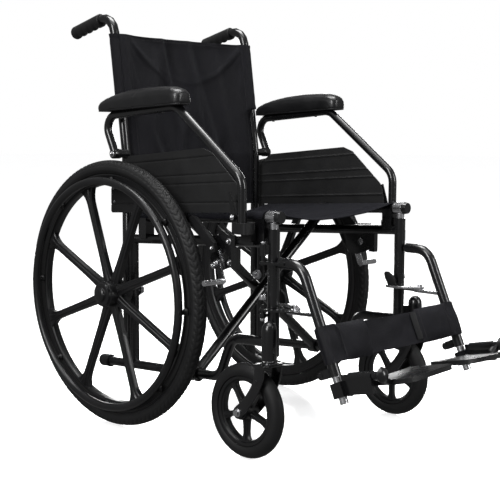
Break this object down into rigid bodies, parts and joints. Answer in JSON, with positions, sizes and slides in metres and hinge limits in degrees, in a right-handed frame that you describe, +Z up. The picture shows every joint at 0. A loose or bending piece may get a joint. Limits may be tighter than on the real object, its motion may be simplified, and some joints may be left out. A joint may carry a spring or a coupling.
{
  "type": "wheelchair",
  "caption": "Folding manual wheelchair with spoked rear wheels and handrims, front casters, cloth seat and back, lift-up armrests and swing-away footrests.",
  "frame": {"origin": "centre of the bounding box, at floor level, where the tyres touch the floor", "axes": "+Z up; +Y from the footplates towards the push handles, so the chair faces -Y; +X to the left side of someone sitting in it"},
  "size_m": [0.644, 1.068, 0.949],
  "materials": {
    "gloss_black_paint": "gloss black powder coat",
    "chrome": "bright chrome plate",
    "dark_grey_plastic": "moulded, lightly textured",
    "black_nylon_wheel": "satin moulded nylon",
    "soft_rubber": "soft matt rubber",
    "tyre_rubber": "matt tyre rubber",
    "black_nylon_cloth": "woven nylon with a slight sheen",
    "arm_pad_vinyl": "moulded vinyl skin, satin"
  },
  "bodies": {
    "frame_right": {"side_frame_right": "gloss_black_paint", "grip_right": "soft_rubber", "tip_cap_right": "soft_rubber", "arm_socket_right": "dark_grey_plastic", "axle_right": "chrome", "brake_bracket_right": "gloss_black_paint", "back": "black_nylon_cloth"},
    "rear_wheel_right": {"wheel_right": "black_nylon_wheel", "tyre_right": "tyre_rubber", "handrim_right": "black_nylon_wheel"},
    "fork_right": {"caster_fork_right": "gloss_black_paint", "caster_axle_right": "chrome"},
    "caster_right": {"caster_wheel_right": "black_nylon_wheel", "caster_tyre_right": "tyre_rubber"},
    "armrest_right": {"arm_tube_right": "gloss_black_paint", "arm_pad_right": "arm_pad_vinyl", "skirt_guard_right": "dark_grey_plastic"},
    "arm_catch_right": {"arm_latch_right": "gloss_black_paint"},
    "lock_lever_right": {"brake_lever_right": "dark_grey_plastic"},
    "lock_shoe_right": {"brake_shoe_right": "chrome"},
    "leg_hanger_right": {"hanger_right": "gloss_black_paint", "calf_strap": "black_nylon_cloth"},
    "hanger_release_right": {"hanger_latch_right": "gloss_black_paint"},
    "leg_slider_right": {"leg_tube_right": "chrome", "foot_bracket_right": "gloss_black_paint"},
    "foot_link_right": {"foot_hinge_right": "gloss_black_paint"},
    "foot_rest_right": {"footplate_right": "dark_grey_plastic"},
    "seat_side_right": {"seat_rail_right": "gloss_black_paint", "seat_post_right": "chrome", "seat": "black_nylon_cloth"},
    "frame_left": {"side_frame_left": "gloss_black_paint", "grip_left": "soft_rubber", "tip_cap_left": "soft_rubber", "arm_socket_left": "dark_grey_plastic", "axle_left": "chrome", "brake_bracket_left": "gloss_black_paint"},
    "rear_wheel_left": {"wheel_left": "black_nylon_wheel", "tyre_left": "tyre_rubber", "handrim_left": "black_nylon_wheel"},
    "fork_left": {"caster_fork_left": "gloss_black_paint", "caster_axle_left": "chrome"},
    "caster_left": {"caster_wheel_left": "black_nylon_wheel", "caster_tyre_left": "tyre_rubber"},
    "armrest_left": {"arm_tube_left": "gloss_black_paint", "arm_pad_left": "arm_pad_vinyl", "skirt_guard_left": "dark_grey_plastic"},
    "arm_catch_left": {"arm_latch_left": "gloss_black_paint"},
    "lock_lever_left": {"brake_lever_left": "dark_grey_plastic"},
    "lock_shoe_left": {"brake_shoe_left": "chrome"},
    "leg_hanger_left": {"hanger_left": "gloss_black_paint"},
    "hanger_release_left": {"hanger_latch_left": "gloss_black_paint"},
    "leg_slider_left": {"leg_tube_left": "chrome", "foot_bracket_left": "gloss_black_paint"},
    "foot_link_left": {"foot_hinge_left": "gloss_black_paint"},
    "foot_rest_left": {"footplate_left": "dark_grey_plastic"},
    "seat_side_left": {"seat_rail_left": "gloss_black_paint", "seat_post_left": "chrome"},
    "cross_a": {"brace_a": "gloss_black_paint", "brace_bolt": "chrome"},
    "cross_b": {"brace_b": "gloss_black_paint"}
  },
  "joints": [
    {"name": "fold", "type": "hinge", "parent": "frame_right", "child": "cross_a", "pos_m": [-0.215, 0.0169, 0.1413], "axis": [0, -1, 0], "range_deg": [0, 37], "deforming": ["seat", "back", "calf_strap"]},
    {"name": "fold_cross", "type": "hinge", "parent": "cross_a", "child": "cross_b", "pos_m": [0, 0.03, 0.31465], "axis": [0, -1, 0], "range_deg": [-74, 0]},
    {"name": "fold_frame", "type": "hinge", "parent": "cross_b", "child": "frame_left", "pos_m": [0.215, 0.0431, 0.1413], "axis": [0, -1, 0], "range_deg": [0, 37]},
    {"name": "fold_seat_left", "type": "hinge", "parent": "cross_a", "child": "seat_side_left", "pos_m": [0.215, 0.0169, 0.488], "axis": [0, -1, 0], "range_deg": [-37, 0]},
    {"name": "fold_seat_right", "type": "hinge", "parent": "cross_b", "child": "seat_side_right", "pos_m": [-0.215, 0.0431, 0.488], "axis": [0, -1, 0], "range_deg": [0, 37]},
    {"name": "roll_right", "type": "hinge", "parent": "frame_right", "child": "rear_wheel_right", "pos_m": [-0.277, 0.229, 0.305], "axis": [1, 0, 0], "continuous": true},
    {"name": "caster_swivel_right", "type": "hinge", "parent": "frame_right", "child": "fork_right", "pos_m": [-0.2505, -0.238, 0.215], "axis": [0, 0, 1], "continuous": true},
    {"name": "caster_roll_right", "type": "hinge", "parent": "fork_right", "child": "caster_right", "pos_m": [-0.2505, -0.176, 0.1], "axis": [1, 0, 0], "continuous": true},
    {"name": "armrest_lift_right", "type": "hinge", "parent": "frame_right", "child": "armrest_right", "pos_m": [-0.254, 0.249, 0.624], "axis": [-1, 0, 0], "range_deg": [0, 80]},
    {"name": "arm_catch_press_right", "type": "hinge", "parent": "frame_right", "child": "arm_catch_right", "pos_m": [-0.2565, -0.142, 0.5], "axis": [1, 0, 0], "range_deg": [0, 10], "stiffness_Nm_per_rad": 0.2},
    {"name": "wheel_lock_right", "type": "hinge", "parent": "frame_right", "child": "lock_lever_right", "pos_m": [-0.247, -0.071, 0.43], "axis": [1, 0, 0], "range_deg": [0, 38]},
    {"name": "lock_shoe_turn_right", "type": "hinge", "parent": "frame_right", "child": "lock_shoe_right", "pos_m": [-0.2345, -0.071, 0.398], "axis": [1, 0, 0], "range_deg": [0, 12.35]},
    {"name": "hanger_swing_right", "type": "hinge", "parent": "frame_right", "child": "leg_hanger_right", "pos_m": [-0.238, -0.207, 0.36], "axis": [0, 0, -1], "range_deg": [0, 90]},
    {"name": "hanger_release_press_right", "type": "hinge", "parent": "leg_hanger_right", "child": "hanger_release_right", "pos_m": [-0.214, -0.276, 0.317], "axis": [0, 0, -1], "range_deg": [0, 8], "stiffness_Nm_per_rad": 0.2},
    {"name": "leg_length_right", "type": "slide", "parent": "leg_hanger_right", "child": "leg_slider_right", "axis": [0, -0.4035, -0.915], "range_m": [0, 0.06]},
    {"name": "footplate_stow_right", "type": "hinge", "parent": "leg_slider_right", "child": "foot_link_right", "pos_m": [-0.212, -0.47854, 0.21632], "axis": [0, -0.9781, 0.2079], "range_deg": [0, 103.6]},
    {"name": "footplate_flip_right", "type": "hinge", "parent": "foot_link_right", "child": "foot_rest_right", "pos_m": [-0.212, -0.47854, 0.21632], "axis": [0, 0.9781, -0.2079], "range_deg": [-90, 0]},
    {"name": "roll_left", "type": "hinge", "parent": "frame_left", "child": "rear_wheel_left", "pos_m": [0.277, 0.229, 0.305], "axis": [1, 0, 0], "continuous": true},
    {"name": "caster_swivel_left", "type": "hinge", "parent": "frame_left", "child": "fork_left", "pos_m": [0.2505, -0.238, 0.215], "axis": [0, 0, 1], "continuous": true},
    {"name": "caster_roll_left", "type": "hinge", "parent": "fork_left", "child": "caster_left", "pos_m": [0.2505, -0.176, 0.1], "axis": [1, 0, 0], "continuous": true},
    {"name": "armrest_lift_left", "type": "hinge", "parent": "frame_left", "child": "armrest_left", "pos_m": [0.254, 0.249, 0.624], "axis": [-1, 0, 0], "range_deg": [0, 80]},
    {"name": "arm_catch_press_left", "type": "hinge", "parent": "frame_left", "child": "arm_catch_left", "pos_m": [0.2565, -0.142, 0.5], "axis": [1, 0, 0], "range_deg": [0, 10], "stiffness_Nm_per_rad": 0.2},
    {"name": "wheel_lock_left", "type": "hinge", "parent": "frame_left", "child": "lock_lever_left", "pos_m": [0.247, -0.071, 0.43], "axis": [1, 0, 0], "range_deg": [0, 38]},
    {"name": "lock_shoe_turn_left", "type": "hinge", "parent": "frame_left", "child": "lock_shoe_left", "pos_m": [0.2345, -0.071, 0.398], "axis": [1, 0, 0], "range_deg": [0, 12.35]},
    {"name": "hanger_swing_left", "type": "hinge", "parent": "frame_left", "child": "leg_hanger_left", "pos_m": [0.238, -0.207, 0.36], "axis": [0, 0, 1], "range_deg": [0, 90]},
    {"name": "hanger_release_press_left", "type": "hinge", "parent": "leg_hanger_left", "child": "hanger_release_left", "pos_m": [0.214, -0.276, 0.317], "axis": [0, 0, 1], "range_deg": [0, 8], "stiffness_Nm_per_rad": 0.2},
    {"name": "leg_length_left", "type": "slide", "parent": "leg_hanger_left", "child": "leg_slider_left", "axis": [0, -0.4035, -0.915], "range_m": [0, 0.06]},
    {"name": "footplate_stow_left", "type": "hinge", "parent": "leg_slider_left", "child": "foot_link_left", "pos_m": [0.212, -0.47854, 0.21632], "axis": [0, 0.9781, -0.2079], "range_deg": [0, 103.6]},
    {"name": "footplate_flip_left", "type": "hinge", "parent": "foot_link_left", "child": "foot_rest_left", "pos_m": [0.212, -0.47854, 0.21632], "axis": [0, -0.9781, 0.2079], "range_deg": [-90, 0]}
  ],
  "couplings": [
    {"joint": "fold_cross", "follows": "fold", "ratio": -2},
    {"joint": "fold_frame", "follows": "fold", "ratio": 1},
    {"joint": "fold_seat_left", "follows": "fold", "ratio": -1},
    {"joint": "fold_seat_right", "follows": "fold", "ratio": 1},
    {"joint": "lock_shoe_turn_right", "follows": "wheel_lock_right", "ratio": 0.325},
    {"joint": "footplate_stow_right", "follows": "fold", "ratio": 2.8},
    {"joint": "lock_shoe_turn_left", "follows": "wheel_lock_left", "ratio": 0.325},
    {"joint": "footplate_stow_left", "follows": "fold", "ratio": 2.8}
  ]
}
